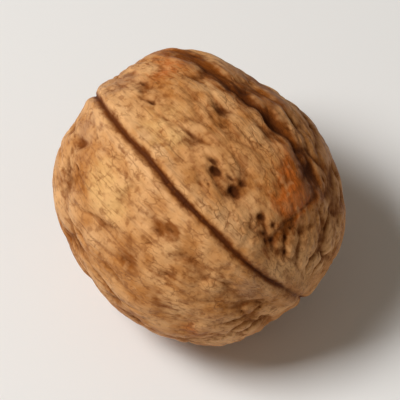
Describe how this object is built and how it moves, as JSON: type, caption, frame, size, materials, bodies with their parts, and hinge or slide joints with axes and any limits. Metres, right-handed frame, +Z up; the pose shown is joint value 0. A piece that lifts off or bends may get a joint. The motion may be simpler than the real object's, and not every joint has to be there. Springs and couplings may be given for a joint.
{
  "type": "walnut",
  "caption": "Whole walnut in its shell, lying on its side: a rounded oval nut with a raised lengthwise seam, shallow furrows, a blunt tip and a small stem scar.",
  "frame": {"origin": "on the small flat that the nut rests on, straight below the middle of its body", "axes": "+X along the nut from its stem end to its tip, +Z up from the surface it rests on, +Y to the side; the plane of the seam holds X and leans 24 degrees from upright, its upper edge towards -Y"},
  "size_m": [0.0349, 0.0324, 0.0319],
  "materials": {
    "shell": "satin"
  },
  "bodies": {
    "root": {"walnut": "shell"}
  },
  "joints": []
}
